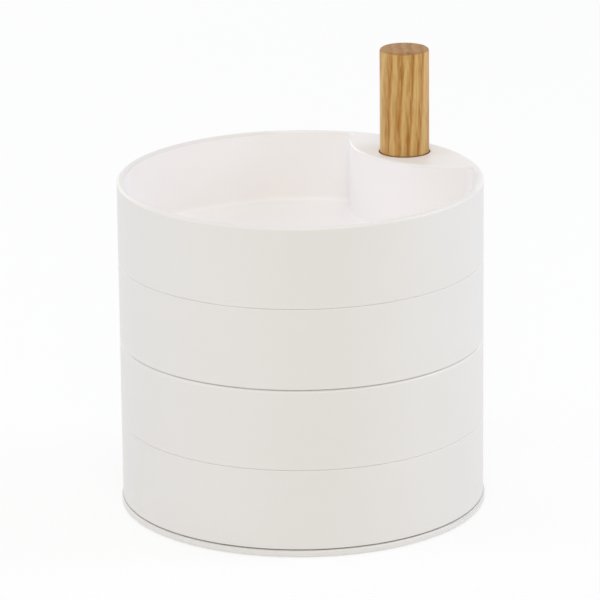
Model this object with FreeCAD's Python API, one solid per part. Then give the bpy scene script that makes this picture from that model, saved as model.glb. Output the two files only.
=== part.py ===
import FreeCAD, Part
import math
import os

from FreeCAD import Vector

# A round jewellery box of four stacked trays that swivel about one upright steel rod near their edge.
# Lengths are millimetres, +Z is up, and the origin is the middle of the box on the table.
# The pivot stands on +Y, so the open side of the trays faces -Y.

# Trays, moulded alike but for the rim, which is soft on the upper tray of each pair and crisp on the lower
TRAY_DIAMETER = 100.0
TRAY_HEIGHT = 22.35
TRAY_WALL = 2.0
TRAY_FLOOR = 2.0
POCKET_CORNER_RADIUS = 2.2
POCKET_FLOOR_RADIUS = 1.5
SOFT_RIM_RADIUS = 0.8
CRISP_RIM_RADIUS = 0.3
BOTTOM_EDGE_RADIUS = 0.2
FOOT_RING_WIDTH = 3.5
FOOT_RING_HEIGHT = 0.4

# Land at the tray's edge, which holds the pivot and is hollow below
LAND_ARC_RADIUS = 29.0
LAND_THICKNESS = 2.2
BOSS_WALL = 3.5
PIVOT_EDGE_WALL = 4.0
HUB_WALL = 1.8
HUB_WEB_WIDTH = 10.0
CORE_CORNER_RADIUS = 1.2
COUNTERBORE_DEPTH = 4.5

# Running gaps under the trays
BASE_GAP = 0.3
PAIR_GAP = 0.03
MIDDLE_GAP = 0.2

# Pivot
ROD_DIAMETER = 6.0
ROD_CLEARANCE = 0.08
STUD_STEP = 0.5
STUD_LENGTH = 10.0
THREAD_END_CHAMFER = 0.6
BUSH_CLEARANCE = 0.15
BUSH_CHAMFER = 0.4
SLIDE_FLOAT = 0.04
FRICTION_WASHER_THICKNESS = 0.8
SPRING_THICKNESS = 0.4
SPRING_RISE = 0.5
SPRING_RADIAL_ROOM = 0.8

# Handle
HANDLE_DIAMETER = 13.7
HANDLE_STANDOUT = 29.4
HANDLE_CLEARANCE = 0.25
HANDLE_TOP_RADIUS = 0.7
HANDLE_END_CHAMFER = 0.3
INSERT_LENGTH = 12.0
INSERT_WALL = 1.1
INSERT_INSET = 0.5
INSERT_FIT = 0.02
INSERT_BARB_DEPTH = 0.25
INSERT_BARB_COUNT = 4
INSERT_TIP_ROOM = 1.5
THREAD_CLEARANCE = 0.05

# Base plate and what is let into it
BASE_OVERHANG = 0.4
BASE_THICKNESS = 1.75
BASE_EDGE_RADIUS = 0.35
SOCKET_FIT = 0.03
SCREW_DIAMETER = 4.0
SCREW_HEAD_DIAMETER = 7.6
SCREW_HOLE_CLEARANCE = 0.2
SCREW_SEAT = 1.0
SCREW_GRIP = 7.0
SCREW_END_ROOM = 1.5
SCREW_RECESS_WIDTH = 0.9
SCREW_RECESS_SPAN = 4.2
SCREW_RECESS_DEPTH = 1.2
PAD_DIAMETER = 10.0
PAD_THICKNESS = 1.0
PAD_PROUD = 0.3
PAD_CLEARANCE = 0.15
PAD_EDGE_INSET = 5.0
PAD_EDGE_RADIUS = 0.15
PAD_COUNT = 4

# How far a cutting solid runs past the face that it cuts, the most of a wall that one edge's round takes,
# the most of the pocket's corner radius that the round along its floor takes, and how level an edge lies
CUT_PAST = 1.0
ROUND_SHARE_OF_WALL = 0.48
FLOOR_ROUND_SHARE_OF_CORNER = 0.9
LEVEL_TOLERANCE = 1e-6

# Radii and places worked out from the sizes above
tray_radius = TRAY_DIAMETER / 2
pocket_radius = tray_radius - TRAY_WALL
rod_radius = ROD_DIAMETER / 2
rod_bore_radius = rod_radius + ROD_CLEARANCE
stud_radius = rod_radius - STUD_STEP
handle_radius = HANDLE_DIAMETER / 2
counterbore_radius = handle_radius + HANDLE_CLEARANCE
bush_radius = counterbore_radius - BUSH_CLEARANCE
hub_radius = counterbore_radius + HUB_WALL
pivot_y = tray_radius - PIVOT_EDGE_WALL - counterbore_radius
land_arc_y = pivot_y - counterbore_radius - BOSS_WALL + LAND_ARC_RADIUS
insert_radius = stud_radius + THREAD_CLEARANCE + INSERT_WALL
screw_radius = SCREW_DIAMETER / 2
screw_head_radius = SCREW_HEAD_DIAMETER / 2
screw_head_height = screw_head_radius - screw_radius
pivot = Vector(0, pivot_y, 0)
middle = Vector(0, 0, 0)

# Heights of the stack, from the table up
base_bottom = PAD_PROUD
base_top = base_bottom + BASE_THICKNESS
gap_under = {
    "tray_bottom": BASE_GAP,
    "tray_lower": PAIR_GAP,
    "tray_upper": MIDDLE_GAP,
    "tray_top": PAIR_GAP,
}
rim_radii = {
    "tray_bottom": CRISP_RIM_RADIUS,
    "tray_lower": SOFT_RIM_RADIUS,
    "tray_upper": CRISP_RIM_RADIUS,
    "tray_top": SOFT_RIM_RADIUS,
}
tray_bottom_z = {}
stack_top = base_top
for tray_name, gap in gap_under.items():
    tray_bottom_z[tray_name] = stack_top + gap
    stack_top = tray_bottom_z[tray_name] + TRAY_HEIGHT
pilot_top = tray_bottom_z["tray_bottom"] + COUNTERBORE_DEPTH - SLIDE_FLOAT
socket_floor = base_bottom + screw_head_height + SCREW_SEAT
friction_washer_z = stack_top - COUNTERBORE_DEPTH + SLIDE_FLOAT
spring_z = friction_washer_z + FRICTION_WASHER_THICKNESS
handle_bottom = spring_z + SPRING_THICKNESS + SPRING_RISE
handle_top = stack_top + HANDLE_STANDOUT
shoulder_z = handle_bottom + INSERT_INSET


def disc(radius, bottom, top, centre=middle):
    """Upright cylinder between two heights."""
    return Part.makeCylinder(radius, top - bottom, centre + Vector(0, 0, bottom))


def turned(profile, centre=middle):
    """Solid of revolution about an upright axis, from (radius, height) points."""
    points = [centre + Vector(radius, 0, height) for radius, height in profile]
    face = Part.Face(Part.makePolygon(points + points[:1]))
    return face.revolve(centre, Vector(0, 0, 1), 360)


def arc(start, through, end):
    return Part.Arc(start, through, end).toShape()


def edges_at(shape, height):
    """Edges that lie flat at one height."""

    def is_level(edge):
        box = edge.BoundBox
        return max(abs(box.ZMin - height), abs(box.ZMax - height)) < LEVEL_TOLERANCE

    return [edge for edge in shape.Edges if is_level(edge)]


def land_corner(wall_radius, land_radius, corner_radius, land_side):
    """Corner arc on the +X side between the round wall and the land's arc.

    land_side is +1 outside the land's arc and -1 inside it. Returns the arc's two ends, on the wall and on
    the land's arc, and a point half way along it.
    """
    from_middle = wall_radius - corner_radius
    from_land = land_radius + land_side * corner_radius
    y = (from_middle**2 - from_land**2 + land_arc_y**2) / (2 * land_arc_y)
    centre = Vector(math.sqrt(from_middle**2 - y**2), y, 0)
    land_centre = Vector(0, land_arc_y, 0)
    on_wall = centre * (wall_radius / from_middle)
    on_land = land_centre + (centre - land_centre) * (land_radius / from_land)
    outward = (on_wall - centre) + (on_land - centre)
    halfway = centre + outward.normalize() * corner_radius
    return on_wall, halfway, on_land


def mirrored(point):
    return Vector(-point.x, point.y, point.z)


def land_outline(wall_radius, land_radius, corner_radius, land_side):
    """Closed outline of the pocket (land_side +1) or of the hollow under the land (land_side -1)."""
    on_wall, halfway, on_land = land_corner(wall_radius, land_radius, corner_radius, land_side)
    far_wall = Vector(0, -land_side * wall_radius, 0)
    nearest_land = Vector(0, land_arc_y - land_radius, 0)
    edges = [
        arc(on_wall, far_wall, mirrored(on_wall)),
        arc(mirrored(on_wall), mirrored(halfway), mirrored(on_land)),
        arc(mirrored(on_land), nearest_land, on_land),
        arc(on_land, halfway, on_wall),
    ]
    return Part.Wire(edges)


def prism(outline, bottom, top):
    """Upright prism on a flat outline drawn at height 0."""
    face = Part.Face(outline)
    face.translate(Vector(0, 0, bottom))
    return face.extrude(Vector(0, 0, top - bottom))


def tray_pocket():
    """Space for the jewellery, with its floor's edge rounded."""
    outline = land_outline(pocket_radius, LAND_ARC_RADIUS, POCKET_CORNER_RADIUS, 1)
    pocket = prism(outline, TRAY_FLOOR, TRAY_HEIGHT + CUT_PAST)
    floor_radius = min(POCKET_FLOOR_RADIUS, FLOOR_ROUND_SHARE_OF_CORNER * POCKET_CORNER_RADIUS)
    return pocket.makeFillet(floor_radius, edges_at(pocket, TRAY_FLOOR))


def foot_recess():
    """Shallow recess under the pocket's floor, which leaves a ring for the tray to stand on."""
    inset = FOOT_RING_WIDTH - TRAY_WALL
    corner_radius = max(POCKET_CORNER_RADIUS - inset, CORE_CORNER_RADIUS)
    outline = land_outline(pocket_radius - inset, LAND_ARC_RADIUS + inset, corner_radius, 1)
    return prism(outline, -CUT_PAST, FOOT_RING_HEIGHT)


def land_hollow():
    """Hollow under the land, on both sides of the hub and of the web that joins the hub to the wall."""
    outline = land_outline(pocket_radius, LAND_ARC_RADIUS - TRAY_WALL, CORE_CORNER_RADIUS, -1)
    hollow = prism(outline, -CUT_PAST, TRAY_HEIGHT - LAND_THICKNESS)
    hub = disc(hub_radius, -CUT_PAST, TRAY_HEIGHT, pivot)
    web_corner = Vector(-HUB_WEB_WIDTH / 2, pivot_y, -CUT_PAST)
    web = Part.makeBox(HUB_WEB_WIDTH, tray_radius - pivot_y, TRAY_HEIGHT + CUT_PAST, web_corner)
    return hollow.cut(hub.fuse(web))


def tray(rim_radius):
    """One tray, with its bottom edge at height 0."""
    body = disc(tray_radius, 0, TRAY_HEIGHT)
    body = body.makeFillet(BOTTOM_EDGE_RADIUS, edges_at(body, 0))
    body = body.cut(tray_pocket())
    body = body.makeFillet(min(rim_radius, ROUND_SHARE_OF_WALL * TRAY_WALL), edges_at(body, TRAY_HEIGHT))
    body = body.cut(foot_recess())
    body = body.cut(land_hollow())
    body = body.cut(disc(rod_bore_radius, -CUT_PAST, TRAY_HEIGHT + CUT_PAST, pivot))
    body = body.cut(disc(counterbore_radius, -CUT_PAST, COUNTERBORE_DEPTH, pivot))
    mouth = disc(counterbore_radius, TRAY_HEIGHT - COUNTERBORE_DEPTH, TRAY_HEIGHT + CUT_PAST, pivot)
    return body.cut(mouth).removeSplitter()


def pad_places():
    """Middles of the foot pads on the table, evenly round the base and clear of the pivot."""
    reach = tray_radius + BASE_OVERHANG - PAD_EDGE_INSET - PAD_DIAMETER / 2
    step = 360 / PAD_COUNT
    angles = [math.radians(90 + step * (index + 0.5)) for index in range(PAD_COUNT)]
    return [Vector(reach * math.cos(angle), reach * math.sin(angle), 0) for angle in angles]


def base_plate():
    """Round plate with a pilot that centres the bottom tray and holds the rod's foot."""
    plate = disc(tray_radius + BASE_OVERHANG, base_bottom, base_top)
    edge_radius = min(BASE_EDGE_RADIUS, ROUND_SHARE_OF_WALL * BASE_THICKNESS)
    plate = plate.makeFillet(edge_radius, edges_at(plate, base_bottom) + edges_at(plate, base_top))
    pilot = disc(bush_radius, base_top, pilot_top, pivot)
    plate = plate.fuse(pilot.makeChamfer(BUSH_CHAMFER, edges_at(pilot, pilot_top)))
    plate = plate.cut(disc(rod_radius + SOCKET_FIT, socket_floor, pilot_top + CUT_PAST, pivot))
    hole_radius = screw_radius + SCREW_HOLE_CLEARANCE
    head_radius = screw_head_radius + SCREW_HOLE_CLEARANCE
    seat_top = base_bottom + screw_head_height
    screw_hole = turned(
        [
            (0, base_bottom - CUT_PAST),
            (head_radius, base_bottom - CUT_PAST),
            (head_radius, base_bottom),
            (hole_radius, seat_top),
            (hole_radius, socket_floor + CUT_PAST),
            (0, socket_floor + CUT_PAST),
        ],
        pivot,
    )
    plate = plate.cut(screw_hole)
    recess_radius = PAD_DIAMETER / 2 + PAD_CLEARANCE
    for place in pad_places():
        plate = plate.cut(disc(recess_radius, base_bottom - CUT_PAST, PAD_THICKNESS, place))
    return plate.removeSplitter()


def foot_pad(place):
    pad = disc(PAD_DIAMETER / 2, 0, PAD_THICKNESS, place)
    return pad.makeFillet(PAD_EDGE_RADIUS, edges_at(pad, 0))


def base_screw():
    """Countersunk machine screw, its head flush with the underside of the base plate."""
    tip = socket_floor + SCREW_GRIP
    screw = turned(
        [
            (0, base_bottom),
            (screw_head_radius, base_bottom),
            (screw_radius, base_bottom + screw_head_height),
            (screw_radius, tip - THREAD_END_CHAMFER),
            (screw_radius - THREAD_END_CHAMFER, tip),
            (0, tip),
        ],
        pivot,
    )
    recess_top = base_bottom + SCREW_RECESS_DEPTH
    for width, depth in ((SCREW_RECESS_WIDTH, SCREW_RECESS_SPAN), (SCREW_RECESS_SPAN, SCREW_RECESS_WIDTH)):
        corner = pivot + Vector(-width / 2, -depth / 2, base_bottom - CUT_PAST)
        screw = screw.cut(Part.makeBox(width, depth, recess_top - base_bottom + CUT_PAST, corner))
    return screw


def pivot_rod():
    """Steel rod, tapped at its foot for the screw and with a threaded stud at its top for the handle."""
    stud_top = shoulder_z + STUD_LENGTH
    rod = turned(
        [
            (0, socket_floor),
            (rod_radius, socket_floor),
            (rod_radius, shoulder_z),
            (stud_radius, shoulder_z),
            (stud_radius, stud_top - THREAD_END_CHAMFER),
            (stud_radius - THREAD_END_CHAMFER, stud_top),
            (0, stud_top),
        ],
        pivot,
    )
    tapping_radius = screw_radius + THREAD_CLEARANCE
    tapping_top = socket_floor + SCREW_GRIP + SCREW_END_ROOM
    return rod.cut(disc(tapping_radius, socket_floor - CUT_PAST, tapping_top, pivot))


def spacer_bush(tray_name):
    """Bush between a tray and the one below it, which sets the gap between their rims."""
    seat = tray_bottom_z[tray_name] - gap_under[tray_name] - COUNTERBORE_DEPTH
    top = tray_bottom_z[tray_name] + COUNTERBORE_DEPTH - SLIDE_FLOAT
    return turned(
        [
            (rod_bore_radius, seat),
            (bush_radius - BUSH_CHAMFER, seat),
            (bush_radius, seat + BUSH_CHAMFER),
            (bush_radius, top - BUSH_CHAMFER),
            (bush_radius - BUSH_CHAMFER, top),
            (rod_bore_radius, top),
        ],
        pivot,
    )


def friction_washer():
    washer = disc(bush_radius, friction_washer_z, spring_z, pivot)
    return washer.cut(disc(rod_bore_radius, friction_washer_z - CUT_PAST, spring_z + CUT_PAST, pivot))


def spring_washer():
    """Coned disc spring, standing on its inner edge."""
    inner = rod_bore_radius
    outer = bush_radius - SPRING_RADIAL_ROOM
    return turned(
        [
            (inner, spring_z),
            (outer, spring_z + SPRING_RISE),
            (outer, spring_z + SPRING_RISE + SPRING_THICKNESS),
            (inner, spring_z + SPRING_THICKNESS),
        ],
        pivot,
    )


def handle():
    """Turned wooden handle with a blind hole for the threaded insert."""
    body = disc(handle_radius, handle_bottom, handle_top, pivot)
    body = body.makeFillet(HANDLE_TOP_RADIUS, edges_at(body, handle_top))
    body = body.makeChamfer(HANDLE_END_CHAMFER, edges_at(body, handle_bottom))
    hole_top = shoulder_z + INSERT_LENGTH + INSERT_TIP_ROOM
    return body.cut(disc(insert_radius + INSERT_FIT, handle_bottom - CUT_PAST, hole_top, pivot))


def threaded_insert():
    """Brass sleeve, barbed outside to grip the wood."""
    bore = stud_radius + THREAD_CLEARANCE
    pitch = INSERT_LENGTH / INSERT_BARB_COUNT
    profile = [(bore, shoulder_z)]
    for index in range(INSERT_BARB_COUNT):
        profile.append((insert_radius - INSERT_BARB_DEPTH, shoulder_z + pitch * index))
        profile.append((insert_radius, shoulder_z + pitch * (index + 1)))
    profile.append((bore, shoulder_z + INSERT_LENGTH))
    return turned(profile, pivot)


def save(name, shape):
    shape.exportStep(os.path.join("parts", name + ".step"))


os.makedirs("parts", exist_ok=True)
save("base_plate", base_plate())
save("base_screw", base_screw())
save("pivot_rod", pivot_rod())
for number, place in enumerate(pad_places(), 1):
    save(f"foot_pad_{number}", foot_pad(place))
for tray_name, bottom in tray_bottom_z.items():
    save(tray_name, tray(rim_radii[tray_name]).translated(Vector(0, 0, bottom)))
for tray_name in list(tray_bottom_z)[1:]:
    save(tray_name.replace("tray", "spacer_bush"), spacer_bush(tray_name))
save("friction_washer", friction_washer())
save("spring_washer", spring_washer())
save("handle", handle())
save("threaded_insert", threaded_insert())
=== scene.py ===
import math

import bmesh
import bpy
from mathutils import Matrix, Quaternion, Vector


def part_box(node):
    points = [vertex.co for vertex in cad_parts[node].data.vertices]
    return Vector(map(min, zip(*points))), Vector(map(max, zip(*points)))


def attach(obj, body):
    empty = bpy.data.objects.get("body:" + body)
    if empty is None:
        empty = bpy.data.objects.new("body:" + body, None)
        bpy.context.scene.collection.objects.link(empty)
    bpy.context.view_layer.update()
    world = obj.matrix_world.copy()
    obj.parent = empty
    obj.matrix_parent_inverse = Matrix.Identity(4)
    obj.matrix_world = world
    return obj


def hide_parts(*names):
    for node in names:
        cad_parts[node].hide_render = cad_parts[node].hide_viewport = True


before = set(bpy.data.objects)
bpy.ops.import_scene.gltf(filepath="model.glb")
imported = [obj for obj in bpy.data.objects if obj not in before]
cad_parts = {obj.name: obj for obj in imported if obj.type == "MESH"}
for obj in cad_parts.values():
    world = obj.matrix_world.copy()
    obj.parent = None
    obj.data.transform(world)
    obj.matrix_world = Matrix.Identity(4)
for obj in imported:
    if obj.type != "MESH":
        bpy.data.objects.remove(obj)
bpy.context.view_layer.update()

# Base plate. A thin round plate of white plastic under the whole box, injection moulded with a fine satin
# grain. Its pilot centres the bottom tray, and one screw from below fixes the pivot rod to it.


def fill(socket, value):
    """Feeds a socket from one signal or a list of them, or sets it to a value that is the same all over."""
    if isinstance(value, list):
        for one in value:
            fill(socket, one)
    elif isinstance(value, Signal):
        value.tree.links.new(value.socket, socket)
    else:
        socket.default_value = value


class Signal:
    """One output in a node tree. Arithmetic on it adds Math nodes to that tree."""

    def __init__(self, tree, socket):
        self.tree = tree
        self.socket = socket

    @classmethod
    def add(cls, tree, kind, settings=None, sockets=None, output=0):
        """Adds a node of any kind: first its settings, then its sockets. Returns one of its outputs."""
        added = tree.nodes.new(kind)
        for name, value in (settings or {}).items():
            setattr(added, name, value)
        for name, value in (sockets or {}).items():
            fill(added.inputs[name], value)
        return cls(tree, added.outputs[output])

    def node(self, kind, settings=None, sockets=None, output=0):
        """Adds a node to this signal's own tree."""
        return self.add(self.tree, kind, settings, sockets, output)

    def maths(self, operation, *values):
        """Adds a Math node on its values, in order."""
        return self.node("ShaderNodeMath", {"operation": operation}, dict(enumerate(values)))

    def __add__(self, other):
        return self.maths("ADD", self, other)

    __radd__ = __add__

    def __sub__(self, other):
        return self.maths("SUBTRACT", self, other)

    def __rsub__(self, other):
        return self.maths("SUBTRACT", other, self)

    def __mul__(self, other):
        return self.maths("MULTIPLY", self, other)

    __rmul__ = __mul__

    def __truediv__(self, other):
        return self.maths("DIVIDE", self, other)

    def __neg__(self):
        return self * -1

    def rise(self, low, high):
        """0 up to a low value, 1 from a high value, and a straight climb between them."""
        settings = {"operation": "MULTIPLY_ADD", "use_clamp": True}
        return self.node("ShaderNodeMath", settings, {0: self, 1: 1 / (high - low), 2: -low / (high - low)})

    def sway(self, amount):
        """Half an amount either side of zero, where this signal goes from 0 to 1."""
        return amount * (self - 0.5)

    def noise(self, waves, detail=2.0):
        """Noise over a place, with so many waves to the metre along each axis."""
        stretched = self.node("ShaderNodeVectorMath", {"operation": "MULTIPLY"}, {0: self, 1: waves})
        return self.node("ShaderNodeTexNoise", {}, {"Vector": stretched, "Scale": 1.0, "Detail": detail})

    def along(self, axis):
        """One coordinate of a place: X, Y or Z."""
        return self.node("ShaderNodeSeparateXYZ", {}, {0: self}, axis)

    def distance(self, point):
        """Distance of a place from a fixed point."""
        return self.node("ShaderNodeVectorMath", {"operation": "DISTANCE"}, {0: self, 1: point}, "Value")

    def blend(self, low, high):
        """Colour between two others, by this signal from 0 to 1."""
        return self.node("ShaderNodeMix", {"data_type": "RGBA"}, {"Factor": self, 6: low, 7: high}, 2)

    def bump(self, depth):
        """Normal of a surface with this height, in shares of a depth in metres."""
        return self.node("ShaderNodeBump", {}, {"Distance": depth, "Height": self})


def colour(red, green, blue):
    """Linear colour from sample values out of 255."""

    def linear(value):
        return ((value / 255 + 0.055) / 1.055) ** 2.4

    return (linear(red), linear(green), linear(blue), 1.0)


def new_finish(name):
    """New material, with its shader and the object's own coordinates to draw patterns on."""
    finish = bpy.data.materials.new(name)
    finish.use_nodes = True
    shader = finish.node_tree.nodes["Principled BSDF"]
    return finish, shader, Signal.add(finish.node_tree, "ShaderNodeTexCoord", output="Object")


def set_shader(shader, values):
    """Feeds or sets a shader's sockets by their names."""
    for name, value in values.items():
        fill(shader.inputs[name], value)


def coat(finish, *nodes):
    """Gives pieces of the frame their finish."""
    for node in nodes:
        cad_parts[node].material_slots[0].material = finish


SATIN_WHITE = colour(230, 227, 224)
SATIN_CREAM = colour(227, 223, 219)
# Whiter colour where the mesh is marked polished: painted light, for the brighter pocket, land and rim.
PAINTED_LIGHT_WHITE = colour(248, 245, 245)
PLASTIC_IOR = 1.53
SATIN_ROUGHNESS = 0.42
POLISHED_ROUGHNESS = 0.32
GRAIN_WAVES = (3600, 3600, 3600)
GRAIN_DEPTH = 2.5e-6
GRAIN_POLISHED_AWAY = 0.8
FLOW_WAVES = (18, 18, 45)
FLOW_ROUGHNESS = 0.1


def white_plastic():
    """Satin white plastic, smoother and clearer where the mesh is marked as polished, and painted whiter
    there as painted light.
    """
    finish, shader, place = new_finish("white_plastic")
    polish = place.node("ShaderNodeAttribute", {"attribute_name": "polish"}, output="Fac")
    flow = place.noise(FLOW_WAVES)
    grain = place.noise(GRAIN_WAVES, detail=1.0)
    satin = SATIN_ROUGHNESS + flow.sway(FLOW_ROUGHNESS)
    set_shader(
        shader,
        {
            "Base Color": polish.blend(flow.blend(SATIN_CREAM, SATIN_WHITE), PAINTED_LIGHT_WHITE),
            "Roughness": satin - (SATIN_ROUGHNESS - POLISHED_ROUGHNESS) * polish,
            "IOR": PLASTIC_IOR,
            "Normal": (grain * (1 - GRAIN_POLISHED_AWAY * polish)).bump(GRAIN_DEPTH),
        },
    )
    return finish


plastic = white_plastic()
coat(plastic, "base_plate")

# Foot pads. Four discs of dark grey rubber, die cut and glued into round recesses in the underside of the
# base plate, from which they stand just proud.


def new_tree(name, sizes):
    """New geometry tree with named sizes. Returns a signal for each input."""
    tree = bpy.data.node_groups.new(name, "GeometryNodeTree")
    kinds = {"Outlines": "NodeSocketGeometry", "Material": "NodeSocketMaterial"}
    kinds.update(dict.fromkeys(sizes, "NodeSocketFloat"))
    for label, kind in kinds.items():
        tree.interface.new_socket(label, in_out="INPUT", socket_type=kind)
    tree.interface.new_socket("Mesh", in_out="OUTPUT", socket_type="NodeSocketGeometry")
    return {label: Signal.add(tree, "NodeGroupInput", output=label) for label in kinds}


def section(corners, first_round, second_round):
    """Open line through four corners, given as distance from a path and height, its middle two rounded."""
    index = first_round.node("GeometryNodeInputIndex")
    points = {}
    for number, (out, height) in enumerate(corners, 1):
        points[f"Point {number}"] = index.node("ShaderNodeCombineXYZ", {}, {0: out, 1: -height})
    line = index.node("GeometryNodeCurvePrimitiveQuadrilateral", {"mode": "POINTS"}, points)
    line = line.node("GeometryNodeSetSplineCyclic", {}, {"Geometry": line, "Cyclic": False})
    radius = first_round * (2 - index) + second_round * (index - 1)
    sockets = {"Curve": line, "Count": ROUND_POINTS, "Radius": radius}
    return line.node("GeometryNodeFilletCurve", {"mode": "POLY"}, sockets)


def sweep(path, line):
    """Surface that a section leaves as it follows a path drawn anticlockwise."""
    return path.node("GeometryNodeCurveToMesh", {}, {"Curve": path, "Profile Curve": line})


def ring(radius, points):
    """Round path about the origin."""
    return radius.node("GeometryNodeCurvePrimitiveCircle", {}, {"Resolution": points, "Radius": radius})


def moved(mesh, x=0.0, y=0.0, z=0.0):
    """The same mesh, shifted along the axes."""
    offset = mesh.node("ShaderNodeCombineXYZ", {}, {0: x, 1: y, 2: z})
    return mesh.node("GeometryNodeTransform", {}, {"Geometry": mesh, "Translation": offset})


def joined(meshes):
    """Several meshes as one, with the points where they meet made common."""
    together = meshes[0].node("GeometryNodeJoinGeometry", {}, {"Geometry": meshes})
    sockets = {"Geometry": together, "Distance": MEETING_DISTANCE}
    return together.node("GeometryNodeMergeByDistance", {}, sockets)


def close_tree(mesh, material):
    """Ends a tree with real geometry that has its material."""
    real = mesh.node("GeometryNodeRealizeInstances", {}, {"Geometry": mesh})
    dressed = real.node("GeometryNodeSetMaterial", {}, {"Geometry": real, "Material": material})
    leaving = mesh.tree.nodes.new("NodeGroupOutput")
    fill(leaving.inputs["Mesh"], dressed)
    return mesh.tree


def run_tree(name, tree, sizes, outlines):
    """Plain mesh that a tree makes of a curve of outlines, with only the tree's material on it."""
    source = bpy.data.objects.new(name, outlines)
    bpy.context.scene.collection.objects.link(source)
    maker = source.modifiers.new(name, "NODES")
    maker.node_group = tree
    for item in tree.interface.items_tree:
        if item.name in sizes:
            maker[item.identifier] = sizes[item.name]
    bpy.context.view_layer.update()
    grown = source.evaluated_get(bpy.context.evaluated_depsgraph_get())
    mesh = bpy.data.meshes.new_from_object(grown)
    bpy.data.objects.remove(source)
    while mesh.materials[0] is None:
        mesh.materials.pop(index=0)
    return mesh


def close_shell(mesh):
    """Closes the seams and poles of a mesh, points its faces outwards and shades its rounds smooth."""
    shell = bmesh.new()
    shell.from_mesh(mesh)
    bmesh.ops.remove_doubles(shell, verts=shell.verts, dist=MEETING_DISTANCE)
    bmesh.ops.recalc_face_normals(shell, faces=shell.faces)
    shell.to_mesh(mesh)
    shell.free()
    mesh.shade_smooth()
    mesh.set_sharp_from_angle(angle=SHARP_ANGLE)


def grow(name, tree, sizes, outlines=None):
    """New piece made by a tree, with normals that follow its larger faces, so that its flats look flat."""
    mesh = run_tree(name, tree, sizes, outlines or bpy.data.curves.new(name, "CURVE"))
    close_shell(mesh)
    piece = bpy.data.objects.new(name, mesh)
    bpy.context.scene.collection.objects.link(piece)
    evened = piece.modifiers.new("even_faces", "WEIGHTED_NORMAL")
    evened.weight = FLAT_FACE_WEIGHT
    evened.thresh = FACE_AREA_STEP
    evened.keep_sharp = True
    return piece


ROUND_POINTS = 6
MEETING_DISTANCE = 2e-6
SHARP_ANGLE = math.radians(32)
FLAT_FACE_WEIGHT = 100
FACE_AREA_STEP = 1e-8

PAD_NODES = [f"foot_pad_{number}" for number in (1, 2, 3, 4)]
PAD_POINTS = 48
PAD_EDGE_ROUND = 0.00015
PAD_RUBBER = colour(58, 58, 60)
PAD_DUST = colour(82, 81, 80)
RUBBER_ROUGHNESS = 0.72
RUBBER_GRAIN_WAVES = (5000, 5000, 5000)
RUBBER_GRAIN_DEPTH = 1.5e-5
DUST_WAVES = (700, 700, 700)
DUST_RANGE = (0.45, 0.75)
DUST_ROUGHNESS = 0.2


def pad_rubber():
    """Matt dark rubber with a fine cast grain and a little dust in it."""
    finish, shader, place = new_finish("pad_rubber")
    dust = place.noise(DUST_WAVES, detail=4.0)
    grain = place.noise(RUBBER_GRAIN_WAVES)
    set_shader(
        shader,
        {
            "Base Color": dust.rise(*DUST_RANGE).blend(PAD_RUBBER, PAD_DUST),
            "Roughness": RUBBER_ROUGHNESS + dust.sway(DUST_ROUGHNESS),
            "Normal": grain.bump(RUBBER_GRAIN_DEPTH),
        },
    )
    return finish


def foot_pad_tree():
    """Equal round pads, evenly spaced on a circle."""
    size = new_tree("foot_pads", ["Pad Radius", "Thickness", "Edge Round", "Ring Radius", "Ring Turn"])
    radius, thick = size["Pad Radius"], size["Thickness"]
    corners = [(-radius, 0), (0, 0), (0, thick), (-radius, thick)]
    pad = sweep(ring(radius, PAD_POINTS), section(corners, size["Edge Round"], size["Edge Round"]))
    sockets = {"Vertices": len(PAD_NODES), "Radius": size["Ring Radius"]}
    places = pad.node("GeometryNodeMeshCircle", {}, sockets)
    turn = pad.node("ShaderNodeCombineXYZ", {}, {2: size["Ring Turn"]})
    places = pad.node("GeometryNodeTransform", {}, {"Geometry": places, "Rotation": turn})
    pads = pad.node("GeometryNodeInstanceOnPoints", {}, {"Points": places, "Instance": pad})
    return close_tree(pads, size["Material"])


pad_low, pad_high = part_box("foot_pad_1")
pad_middle = (pad_low + pad_high) / 2
foot_pads = grow(
    "foot_pads",
    foot_pad_tree(),
    {
        "Pad Radius": (pad_high.x - pad_low.x) / 2,
        "Thickness": pad_high.z,
        "Edge Round": PAD_EDGE_ROUND,
        "Ring Radius": pad_middle.to_2d().length,
        "Ring Turn": math.atan2(pad_middle.y, pad_middle.x),
        "Material": pad_rubber(),
    },
)
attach(foot_pads, "base_and_pivot")
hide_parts(*PAD_NODES)

# Base screw. A countersunk machine screw of zinc-plated steel, cold headed with a cross recess. It goes
# through the base plate from below into the tapped foot of the rod.
SCREW_BRIGHT = colour(214, 216, 218)
SCREW_DULL = colour(186, 189, 186)
SCREW_ROUGHNESS = 0.34
TOOL_RING_WAVES = (60, 60, 8000)
TOOL_RING_DEPTH = 3e-6
TOOL_RING_ROUGHNESS = 0.18
TARNISH_WAVES = (350, 350, 160)
TARNISH_RANGE = (0.3, 0.65)
TARNISH_ROUGHNESS = 0.12


def lathe_metal(name, bright, dull, roughness):
    """Metal with the fine rings of a turning tool across its axis, and uneven tarnish."""
    finish, shader, place = new_finish(name)
    rings = place.noise(TOOL_RING_WAVES, detail=3.0)
    tarnish = place.noise(TARNISH_WAVES, detail=4.0)
    set_shader(
        shader,
        {
            "Base Color": tarnish.rise(*TARNISH_RANGE).blend(dull, bright),
            "Metallic": 1.0,
            "Roughness": roughness + rings.sway(TOOL_RING_ROUGHNESS) - tarnish.sway(TARNISH_ROUGHNESS),
            "Normal": rings.bump(TOOL_RING_DEPTH),
        },
    )
    return finish


coat(lathe_metal("screw_steel", SCREW_BRIGHT, SCREW_DULL, SCREW_ROUGHNESS), "base_screw")

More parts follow.
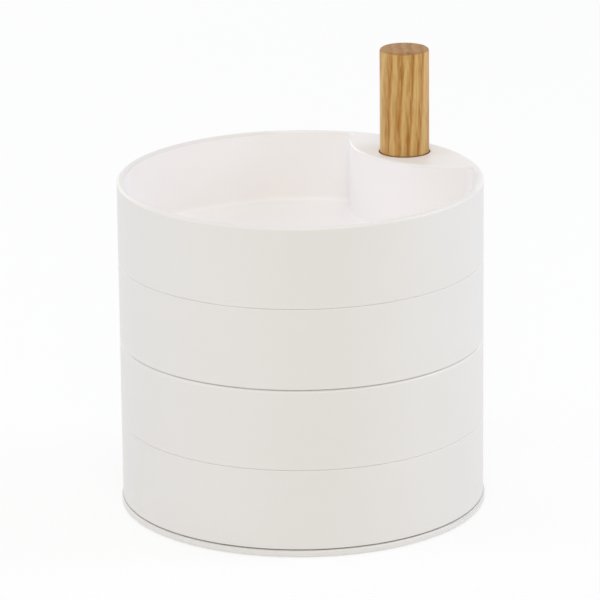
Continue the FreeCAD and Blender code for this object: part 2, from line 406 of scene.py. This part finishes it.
# Pivot rod. A rod of bright drawn steel that stands on the base plate, and on which all four trays turn. It
# is tapped at its foot for the screw and turned down to a threaded stud at its top.
ROD_BRIGHT = colour(206, 205, 202)
ROD_DULL = colour(176, 174, 170)
ROD_ROUGHNESS = 0.22
coat(lathe_metal("rod_steel", ROD_BRIGHT, ROD_DULL, ROD_ROUGHNESS), "pivot_rod")

# Spacer bushes. Three sleeves of natural acetal that slide over the rod, turned from bar. Each sits in the
# counterbores of two trays and carries the upper one just clear of the rim below.
BUSH_IVORY = colour(236, 233, 222)
BUSH_SHADE = colour(226, 221, 207)
BUSH_ROUGHNESS = 0.4
BAR_RING_WAVES = (80, 80, 5000)
BAR_RING_DEPTH = 4e-6
BAR_RING_ROUGHNESS = 0.2
CLOUD_WAVES = (160, 160, 160)
CLOUD_RANGE = (0.3, 0.7)


def turned_plastic(name, light, dark, roughness):
    """Plastic turned from bar, with faint tool rings and a cloudy body."""
    finish, shader, place = new_finish(name)
    rings = place.noise(BAR_RING_WAVES)
    cloud = place.noise(CLOUD_WAVES, detail=3.0)
    set_shader(
        shader,
        {
            "Base Color": cloud.rise(*CLOUD_RANGE).blend(dark, light),
            "Roughness": roughness + rings.sway(BAR_RING_ROUGHNESS),
            "Normal": rings.bump(BAR_RING_DEPTH),
        },
    )
    return finish


bush_plastic = turned_plastic("bush_plastic", BUSH_IVORY, BUSH_SHADE, BUSH_ROUGHNESS)
coat(bush_plastic, "spacer_bush_lower", "spacer_bush_upper", "spacer_bush_top")

# Trays. Four round trays of moulded white plastic, each with a pocket for jewellery, polished inside, and a
# land at the edge that holds the pivot and is cored out from below. The polished pocket, the land and the
# rim are also painted whiter than the outside, as painted light. The upper tray of each pair has a soft rim
# and the lower one a crisp rim, on which the tray above almost rests.
TRAY_BODIES = {
    "tray_bottom": "bottom_tier",
    "tray_lower": "lower_tier",
    "tray_upper": "upper_tier",
    "tray_top": "top_tier",
}
TRAY_WALL = 0.002
TRAY_FLOOR = 0.002
POCKET_CORNER = 0.0022
POCKET_FLOOR_ROUND = 0.0015
SOFT_RIM = 0.0008
CRISP_RIM = 0.0003
FOOT_ROUND = 0.0002
FOOT_RING_WIDTH = 0.0035
FOOT_RECESS = 0.0004
LAND_ARC = 0.029
LAND_FRONT = 0.0283
LAND_THICKNESS = 0.0022
HUB_RADIUS = 0.0089
HUB_WEB = 0.01
CORE_CORNER = 0.0012
COUNTERBORE_RADIUS = 0.0071
COUNTERBORE_DEPTH = 0.0045
BORE_RADIUS = 0.00308
FLAT_WIDTH = 0.0005
RIM_FLAT_WIDTH = FLAT_WIDTH / 3
RIM_REACH = 0.95
# Shares of the polish mark at the rim and on the land, which also paint them whiter as painted light.
RIM_POLISH_AND_PAINTED_LIGHT = 0.15
LAND_POLISH_AND_PAINTED_LIGHT = 0.5
LAND_EDGE = 0.004
OUTLINE_STEP = 0.0012
OUTLINE_TURN = math.radians(12)
FULL_TURN = 2 * math.pi
COUNT_MARGIN = 0.1

middle = Vector((0, 0))
land_middle = Vector((0, LAND_FRONT + LAND_ARC))
rod_low, rod_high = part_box("pivot_rod")
pivot = ((rod_low + rod_high) / 2).to_2d()
tray_low, tray_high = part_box("tray_top")
tray_radius = (tray_high.x - tray_low.x) / 2
pocket_radius = tray_radius - TRAY_WALL


def arc(centre, radius, start, end):
    """Points along an arc, from its start up to but not including its end."""
    turn = abs(end - start)
    count = math.ceil(max(turn * radius / OUTLINE_STEP, turn / OUTLINE_TURN))
    angles = [start + (end - start) * index / count for index in range(count)]
    return [centre + radius * Vector((math.cos(angle), math.sin(angle))) for angle in angles]


def mirrored(point):
    """The same point on the other side of the Y axis."""
    return Vector((-point.x, point.y))


def heading(start, end):
    """Angle from the X axis of the line between two points."""
    return math.atan2(end.y - start.y, end.x - start.x)


def meeting(first_radius, second, second_radius):
    """Where a circle about the middle meets one about a second point on the Y axis, on the +X side."""
    y = (first_radius**2 - second_radius**2 + second.y**2) / (2 * second.y)
    return Vector((math.sqrt(first_radius**2 - y**2), y))


def pocket_outline(inset):
    """Pocket between the round wall and the land, drawn in by an inset."""
    corner = max(POCKET_CORNER - inset, CORE_CORNER)
    wall = pocket_radius - inset
    land = LAND_ARC + inset
    centre = meeting(wall - corner, land_middle, land + corner)
    to_wall = heading(middle, centre)
    to_land = heading(centre, land_middle)
    return (
        arc(middle, wall, math.pi - to_wall, FULL_TURN + to_wall)
        + arc(centre, corner, to_wall, to_land)
        + arc(land_middle, land, to_land - math.pi, -to_land)
        + arc(mirrored(centre), corner, math.pi - to_land, math.pi - to_wall)
    )


def core_outline():
    """Hollow under one side of the land, between the wall, the land's front and the hub with its web."""
    land = LAND_ARC - TRAY_WALL
    centre = meeting(pocket_radius - CORE_CORNER, land_middle, land - CORE_CORNER)
    to_wall = heading(middle, centre)
    to_land = heading(land_middle, centre)
    hub_meets_land = meeting(HUB_RADIUS, land_middle - pivot, land) + pivot
    web_at_wall = math.acos(HUB_WEB / 2 / pocket_radius)
    web_at_hub = math.acos(HUB_WEB / 2 / HUB_RADIUS)
    return (
        arc(land_middle, land, heading(land_middle, hub_meets_land), to_land)
        + arc(centre, CORE_CORNER, to_land, to_wall)
        + arc(middle, pocket_radius, to_wall, web_at_wall)
        + [pocket_radius * Vector((math.cos(web_at_wall), math.sin(web_at_wall)))]
        + arc(pivot, HUB_RADIUS, web_at_hub, heading(pivot, hub_meets_land))
    )


def tray_outlines():
    """Curve of the tray's outlines, each drawn anticlockwise, and the numbers that each kind has in it."""
    core = core_outline()
    loops = {
        "outside": [arc(middle, tray_radius, 0, FULL_TURN)],
        "pocket": [pocket_outline(0)],
        "foot": [pocket_outline(FOOT_RING_WIDTH - TRAY_WALL)],
        "hub": [arc(pivot, COUNTERBORE_RADIUS, 0, FULL_TURN)],
        "core": [core, [mirrored(point) for point in reversed(core)]],
    }
    curve = bpy.data.curves.new("tray_outlines", "CURVE")
    curve.dimensions = "3D"
    numbers = {}
    for kind, outlines in loops.items():
        first = len(curve.splines)
        numbers[kind] = (first, first + len(outlines) - 1)
        for points in outlines:
            spline = curve.splines.new("POLY")
            spline.points.add(len(points) - 1)
            spline.use_cyclic_u = True
            for target, point in zip(spline.points, points):
                target.co = (*point, 0, 1)
    return curve, numbers


def tray_tree(numbers):
    """Tray swept along its outlines, with flat faces closed in at each of its levels."""
    size = new_tree(
        "tray",
        ["Bottom", "Height", "Floor", "Foot Recess", "Land", "Counterbore", "Bore Step", "Flat", "Rim Flat"]
        + ["Rim Round", "Floor Round", "Foot Round"],
    )
    height, floor, foot, flat = size["Height"], size["Floor"], size["Foot Recess"], size["Flat"]
    rim_round, floor_round, foot_round = size["Rim Round"], size["Floor Round"], size["Foot Round"]
    rim = rim_round + size["Rim Flat"]
    ceiling = height - size["Land"]
    seat = size["Counterbore"]
    bore = -size["Bore Step"]
    index = height.node("GeometryNodeInputIndex")
    sharp = foot_round * 0

    def wall(kind, corners, first_round, second_round):
        first, last = numbers[kind]
        chosen = index.maths("COMPARE", index, (first + last) / 2, (last - first) / 2 + COUNT_MARGIN)
        sockets = {"Geometry": size["Outlines"], "Selection": chosen}
        path = index.node("GeometryNodeSeparateGeometry", {"domain": "CURVE"}, sockets)
        return sweep(path, section(corners, first_round, second_round))

    # Marks faces as polished: smoother, and painted whiter as painted light.
    def mark_polish_and_painted_light(mesh, share=1.0, where=True):
        sockets = {"Geometry": mesh, "Name": "polish", "Value": share, "Selection": where}
        return mesh.node("GeometryNodeStoreNamedAttribute", {"data_type": "FLOAT"}, sockets)

    outside = [(-rim, height), (0, height), (0, 0), (-flat, 0)]
    pocket = [(rim, height), (0, height), (0, floor), (-flat - floor_round, floor)]
    recess = [(flat, 0), (0, 0), (0, foot), (-flat, foot)]
    mouth = [(flat, height), (0, height), (0, height - seat), (bore, height - seat)]
    bearing = [(bore, height - seat), (bore, height - seat - flat), (bore, seat + flat), (bore, seat)]
    socket = [(bore, seat), (0, seat), (0, 0), (flat, 0)]
    core = [(flat, 0), (0, 0), (0, ceiling - flat), (0, ceiling)]
    walls = joined(
        [
            wall("outside", outside, rim_round, foot_round),
            mark_polish_and_painted_light(wall("pocket", pocket, rim_round, floor_round)),
            wall("foot", recess, foot_round / 2, foot_round / 2),
            wall("hub", mouth, foot_round, sharp),
            wall("hub", bearing, sharp, sharp),
            wall("hub", socket, sharp, foot_round),
            wall("core", core, foot_round, sharp),
        ]
    )
    neighbours = index.node("GeometryNodeInputMeshEdgeNeighbors")
    one_sided = index.maths("COMPARE", neighbours, 1, COUNT_MARGIN)
    position = index.node("GeometryNodeInputPosition")
    up = position.along("Z")
    faces = []
    for level in (0, foot, floor, ceiling, height):
        at_level = index.maths("COMPARE", up, level, MEETING_DISTANCE)
        edge = walls.node("GeometryNodeMeshToCurve", {}, {"Mesh": walls, "Selection": one_sided * at_level})
        face = edge.node("GeometryNodeFillCurve", {"mode": "NGONS"}, {"Curve": edge})
        face = moved(face, z=level)
        faces.append(mark_polish_and_painted_light(face) if level is floor else face)
    # The rim, and the land more, get a share of the mark, so they are painted whiter too, as painted light.
    at_rim = index.maths("GREATER_THAN", up, height - RIM_REACH * rim_round)
    on_land = position.along("Y").rise(LAND_FRONT - LAND_EDGE, LAND_FRONT)
    tray = mark_polish_and_painted_light(joined([walls] + faces), RIM_POLISH_AND_PAINTED_LIGHT + (LAND_POLISH_AND_PAINTED_LIGHT - RIM_POLISH_AND_PAINTED_LIGHT) * on_land, at_rim)
    return close_tree(moved(tray, z=size["Bottom"]), size["Material"])


rim_rounds = dict(zip(TRAY_BODIES, (CRISP_RIM, SOFT_RIM, CRISP_RIM, SOFT_RIM)))
outlines, outline_numbers = tray_outlines()
tray_maker = tray_tree(outline_numbers)
for tray_name, body in TRAY_BODIES.items():
    low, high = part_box(tray_name)
    tray = grow(
        tray_name + "_moulding",
        tray_maker,
        {
            "Bottom": low.z,
            "Height": high.z - low.z,
            "Floor": TRAY_FLOOR,
            "Foot Recess": FOOT_RECESS,
            "Land": LAND_THICKNESS,
            "Counterbore": COUNTERBORE_DEPTH,
            "Bore Step": COUNTERBORE_RADIUS - BORE_RADIUS,
            "Flat": FLAT_WIDTH,
            "Rim Flat": RIM_FLAT_WIDTH,
            "Rim Round": rim_rounds[tray_name],
            "Floor Round": POCKET_FLOOR_ROUND,
            "Foot Round": FOOT_ROUND,
            "Material": plastic,
        },
        outlines,
    )
    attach(tray, body)
    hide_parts(tray_name)

# Washers under the handle. A turned disc of black nylon lies in the top tray's counterbore, and a coned
# spring of oiled steel presses it down, so that every tray stays where it is turned to.
NYLON_BLACK = colour(52, 52, 54)
NYLON_SHADE = colour(40, 40, 42)
NYLON_ROUGHNESS = 0.5
SPRING_BROWN = colour(120, 112, 104)
SPRING_BLUED = colour(84, 82, 86)
SPRING_ROUGHNESS = 0.3
coat(turned_plastic("washer_plastic", NYLON_BLACK, NYLON_SHADE, NYLON_ROUGHNESS), "friction_washer")
coat(lathe_metal("spring_steel", SPRING_BROWN, SPRING_BLUED, SPRING_ROUGHNESS), "spring_washer")

# Handle. A plain peg of ash turned on a lathe with its grain upright, sanded and finished with clear satin
# lacquer. It screws down on the rod's stud by a turned brass insert that is pressed into its foot.
HANDLE_TOP_ROUND = 0.0007
HANDLE_FOOT_ROUND = 0.0003
INSERT_HOLE_RADIUS = 0.00367
INSERT_HOLE_DEPTH = 0.014
HANDLE_POINTS = 320
CARVING_STEP = 0.0004
PORE_DEPTH = 0.00003
PORE_WAVES = (2600, 2600, 150)
PORE_RANGE = (0.54, 0.68)
PORE_SEASON = (0.3, 0.6)
PITH_DISTANCE = 0.04
PITH_HEADING = math.radians(48.6)
RING_WIDTH = 0.00293
RING_SEED = 144
RING_WEAKEST = 0.6
RING_LEAN = 0.047
RING_WANDER = 0.0024
WANDER_WAVES = (90, 90, 16)
RING_RIPPLE = 0.0011
RIPPLE_WAVES = (160, 160, 80)
EARLY_GROWTH = (0, 0.22)
EARLY_FADING = (0.1, 0.75)

handle_low, handle_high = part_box("handle")
shown_middle = (tray_high.z + handle_high.z) / 2
pith = (*(pivot + PITH_DISTANCE * Vector((math.cos(PITH_HEADING), math.sin(PITH_HEADING)))), 0)


def ash_grain(place):
    """Shares of early wood and of open pore at a place in the ash, by its distance from the pith."""
    level = place.node("ShaderNodeVectorMath", {"operation": "MULTIPLY"}, {0: place, 1: (1, 1, 0)})
    lean = RING_LEAN * (place.along("Z") - shown_middle)
    wander = place.noise(WANDER_WAVES).sway(RING_WANDER)
    ripple = place.noise(RIPPLE_WAVES).sway(RING_RIPPLE)
    years = (level.distance(pith) + lean + wander + ripple) / RING_WIDTH
    sockets = {"W": years.maths("FLOOR", years) + RING_SEED}
    strength = years.node("ShaderNodeTexWhiteNoise", {"noise_dimensions": "1D"}, sockets, "Value")
    season = years.maths("FRACT", years)
    early = season.rise(*EARLY_GROWTH) * (1 - season).rise(*EARLY_FADING)
    early = early * (RING_WEAKEST + (1 - RING_WEAKEST) * strength)
    pore = place.noise(PORE_WAVES, detail=1.0).rise(*PORE_RANGE) * early.rise(*PORE_SEASON)
    return early, pore


def handle_tree():
    """Turned peg with a blind hole in its foot, its side cut by open pores."""
    size = new_tree(
        "handle",
        ["Radius", "Bottom", "Top", "Top Round", "Foot Round", "Hole Radius", "Hole Top"]
        + ["Middle X", "Middle Y", "Carving Step", "Pore Depth"],
    )
    radius, bottom, top, hole_top = size["Radius"], size["Bottom"], size["Top"], size["Hole Top"]
    hole = size["Hole Radius"] - radius
    sharp = radius * 0
    turned = [(-radius, top), (0, top), (0, bottom), (hole, bottom)]
    drilled = [(hole, bottom), (hole, (bottom + hole_top) / 2), (hole, hole_top), (-radius, hole_top)]
    line = section(turned, size["Top Round"], size["Foot Round"])
    sockets = {"Curve": line, "Length": size["Carving Step"]}
    line = line.node("GeometryNodeResampleCurve", {"mode": "LENGTH"}, sockets)
    path = ring(radius, HANDLE_POINTS)
    hole_wall = sweep(path, section(drilled, sharp, sharp))
    wood = moved(joined([sweep(path, line), hole_wall]), size["Middle X"], size["Middle Y"])
    pore = ash_grain(wood.node("GeometryNodeInputPosition"))[1]
    normal = wood.node("GeometryNodeInputNormal")
    sockets = {0: normal, "Scale": -size["Pore Depth"] * pore}
    offset = normal.node("ShaderNodeVectorMath", {"operation": "SCALE"}, sockets)
    carved = wood.node("GeometryNodeSetPosition", {}, {"Geometry": wood, "Offset": offset})
    return close_tree(carved, size["Material"])


ASH_LATE = colour(210, 172, 107)
ASH_EARLY = colour(176, 120, 46)
ASH_PORE = colour(118, 70, 24)
ASH_END = colour(152, 109, 68)
LATE_TONE = 0.1
STREAK_WAVES = (600, 600, 45)
STREAK_TONE = 0.7
FIBRE_WAVES = (1500, 1500, 160)
FIBRE_TONE = 1.9
FIBRE_DEPTH = 1.2e-5
PORE_TONE = 0.4
FINE_PORE_WAVES = (6000, 6000, 260)
FINE_PORE_RANGE = (0.56, 0.68)
FINE_PORE_TONE = 0.55
LATE_FINE_PORES = 0.25
END_TONE = 0.7
END_EDGE = (0.9, 0.4)
FLECK_OFFSET = Vector((0.0048, -0.0031))
FLECK_RADIUS = 0.0011
FLECK_CORE = 0.3 * FLECK_RADIUS
FLECK_TONE = 0.9
# Painted shade: the wood is darkened for a short way up from the tray top, where the handle meets it.
PAINTED_FOOT_SHADE_HEIGHT = 0.0004
PAINTED_FOOT_SHADE_TONE = 0.85
ASH_ROUGHNESS = 0.42
PORE_ROUGHNESS = 0.2
END_ROUGHNESS = 0.15
LACQUER_SHINE = 0.35


def lacquered_ash():
    """Ash with darker early wood, pores along the grain, a browner end with a fleck, and painted shade at
    its foot where it meets the tray.
    """
    finish, shader, place = new_finish("handle_wood")
    early, pore = ash_grain(place)
    streak = place.noise(STREAK_WAVES)
    fibre = place.noise(FIBRE_WAVES, detail=3.0)
    fine_pore = place.noise(FINE_PORE_WAVES, detail=1.0).rise(*FINE_PORE_RANGE)
    fine_pore = fine_pore * (LATE_FINE_PORES + (1 - LATE_FINE_PORES) * early)
    up = place.along("Z")
    end = up.rise(*(handle_high.z - share * HANDLE_TOP_ROUND for share in END_EDGE))
    fleck = (*(pivot + FLECK_OFFSET), handle_high.z)
    spot = FLECK_TONE - FLECK_TONE * place.distance(fleck).rise(FLECK_CORE, FLECK_RADIUS)
    # Painted shade at the foot, darkest at the tray top and gone a little above it.
    painted_foot_shade = PAINTED_FOOT_SHADE_TONE - PAINTED_FOOT_SHADE_TONE * up.rise(tray_high.z, tray_high.z + PAINTED_FOOT_SHADE_HEIGHT)
    dark = painted_foot_shade.maths("MAXIMUM", PORE_TONE * pore + FINE_PORE_TONE * fine_pore + spot, painted_foot_shade)
    tone = LATE_TONE + (1 - LATE_TONE) * early + streak.sway(STREAK_TONE) + fibre.sway(FIBRE_TONE)
    wood = (END_TONE * end).blend(tone.blend(ASH_LATE, ASH_EARLY), ASH_END)
    set_shader(
        shader,
        {
            "Base Color": dark.blend(wood, ASH_PORE),
            "Roughness": ASH_ROUGHNESS + PORE_ROUGHNESS * pore + END_ROUGHNESS * end,
            "Specular IOR Level": LACQUER_SHINE,
            "Normal": (fibre - fine_pore).bump(FIBRE_DEPTH),
        },
    )
    return finish


handle = grow(
    "handle_peg",
    handle_tree(),
    {
        "Radius": (handle_high.x - handle_low.x) / 2,
        "Bottom": handle_low.z,
        "Top": handle_high.z,
        "Top Round": HANDLE_TOP_ROUND,
        "Foot Round": HANDLE_FOOT_ROUND,
        "Hole Radius": INSERT_HOLE_RADIUS,
        "Hole Top": handle_low.z + INSERT_HOLE_DEPTH,
        "Middle X": pivot.x,
        "Middle Y": pivot.y,
        "Carving Step": CARVING_STEP,
        "Pore Depth": PORE_DEPTH,
        "Material": lacquered_ash(),
    },
)
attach(handle, "base_and_pivot")
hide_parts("handle")

INSERT_BRASS = colour(214, 180, 104)
INSERT_DULL = colour(186, 148, 78)
INSERT_ROUGHNESS = 0.3
coat(lathe_metal("insert_brass", INSERT_BRASS, INSERT_DULL, INSERT_ROUGHNESS), "threaded_insert")

# Studio. A sheet of white paper under a white tent, with soft lamps at the front, at each side, above and at
# the back. The front lamp is a little warm and the side lamps are a little cool. The paper keeps a faint
# shadow of the box.
PURE_WHITE = (1.0, 1.0, 1.0, 1.0)
PAPER_WHITE = colour(250, 250, 250)
PAPER_GLOW = 0.78
PAPER_BOUNCE = 0.1
PAPER_SIZE = 6.0
TENT_LIGHT = 0.66
LAMP_DISTANCE = 1.2
LAMP_SIZE = 0.7
WHITE_LIGHT = (1.0, 1.0, 1.0)
WARM_LIGHT = (1.0, 0.93, 0.68)
COOL_LIGHT = (0.76, 0.84, 1.0)
LAMPS = {
    "front_lamp": {"heading": 48.6, "lift": 34, "watts": 2.12, "tint": WARM_LIGHT},
    "left_lamp": {"heading": -30, "lift": 25, "watts": 2.35, "tint": COOL_LIGHT},
    "right_lamp": {"heading": 142, "lift": 25, "watts": 3.95, "tint": COOL_LIGHT},
    "top_lamp": {"heading": 48.6, "lift": 80, "watts": 1.25, "tint": WHITE_LIGHT},
    "back_lamp": {"heading": -100, "lift": 20, "watts": 1.7, "tint": WHITE_LIGHT},
}
AIM = Vector((-0.00025, -0.00028, 0.0569))

scene = bpy.context.scene
scene.view_settings.view_transform = "Standard"


def stand(heading_degrees, lift_degrees):
    """Direction from the box to something round it, by its heading from -Y and its lift."""
    turn = math.radians(heading_degrees)
    lift = math.radians(lift_degrees)
    return Vector((math.sin(turn) * math.cos(lift), -math.cos(turn) * math.cos(lift), math.sin(lift)))


def seen_directly(tree):
    """1 for what the camera sees, straight on or in a reflection or through glass, and 0 for light."""
    kinds = ("Is Camera Ray", "Is Glossy Ray", "Is Transmission Ray")
    camera, glossy, clear = [Signal.add(tree, "ShaderNodeLightPath", output=kind) for kind in kinds]
    return (camera + glossy + clear).rise(0, 1)


paper, paper_shader, paper_place = new_finish("studio_paper")
set_shader(paper_shader, {"Base Color": PAPER_WHITE, "Roughness": 1.0, "Specular IOR Level": 0.0})
glow = paper_place.node("ShaderNodeEmission", {}, {"Color": PURE_WHITE, "Strength": 1.0})
lit = Signal(paper.node_tree, paper_shader.outputs["BSDF"])
share = PAPER_BOUNCE + (PAPER_GLOW - PAPER_BOUNCE) * seen_directly(paper.node_tree)
mixed = lit.node("ShaderNodeMixShader", {}, {0: share, 1: lit, 2: glow})
fill(paper.node_tree.nodes["Material Output"].inputs["Surface"], mixed)

half = PAPER_SIZE / 2
paper_corners = [(-half, -half, 0), (half, -half, 0), (half, half, 0), (-half, half, 0)]
paper_mesh = bpy.data.meshes.new("studio_paper")
paper_mesh.from_pydata(paper_corners, [], [(0, 1, 2, 3)])
paper_mesh.materials.append(paper)
floor = bpy.data.objects.new("studio_paper", paper_mesh)
scene.collection.objects.link(floor)

tent = bpy.data.worlds.new("tent")
tent.use_nodes = True
scene.world = tent
background = tent.node_tree.nodes["Background"]
fill(background.inputs["Color"], PURE_WHITE)
fill(background.inputs["Strength"], TENT_LIGHT + (1 - TENT_LIGHT) * seen_directly(tent.node_tree))

for lamp_name, lamp in LAMPS.items():
    light = bpy.data.lights.new(lamp_name, "AREA")
    light.shape = "DISK"
    light.size = LAMP_SIZE
    light.energy = lamp["watts"]
    light.color = lamp["tint"]
    stood = bpy.data.objects.new(lamp_name, light)
    away = stand(lamp["heading"], lamp["lift"])
    stood.location = AIM + LAMP_DISTANCE * away
    stood.rotation_euler = (-away).to_track_quat("-Z", "Y").to_euler()
    scene.collection.objects.link(stood)

# Camera. A long lens a little above the rim, looking slightly down on the box from its front right, and
# turned about half a degree from level.
CAMERA_HEADING = 48.466
CAMERA_LIFT = 17.149
CAMERA_ROLL = math.radians(-0.595)
CAMERA_DISTANCE = 1.25
LENS_LENGTH = 272.98
SENSOR_WIDTH = 36
NEAREST_SEEN = 0.05

optics = bpy.data.cameras.new("camera")
optics.lens = LENS_LENGTH
optics.sensor_width = SENSOR_WIDTH
optics.clip_start = NEAREST_SEEN
camera = bpy.data.objects.new("camera", optics)
back = stand(CAMERA_HEADING, CAMERA_LIFT)
camera.location = AIM + CAMERA_DISTANCE * back
camera.rotation_mode = "QUATERNION"
camera.rotation_quaternion = (-back).to_track_quat("-Z", "Y") @ Quaternion((0, 0, 1), CAMERA_ROLL)
scene.collection.objects.link(camera)
scene.camera = camera
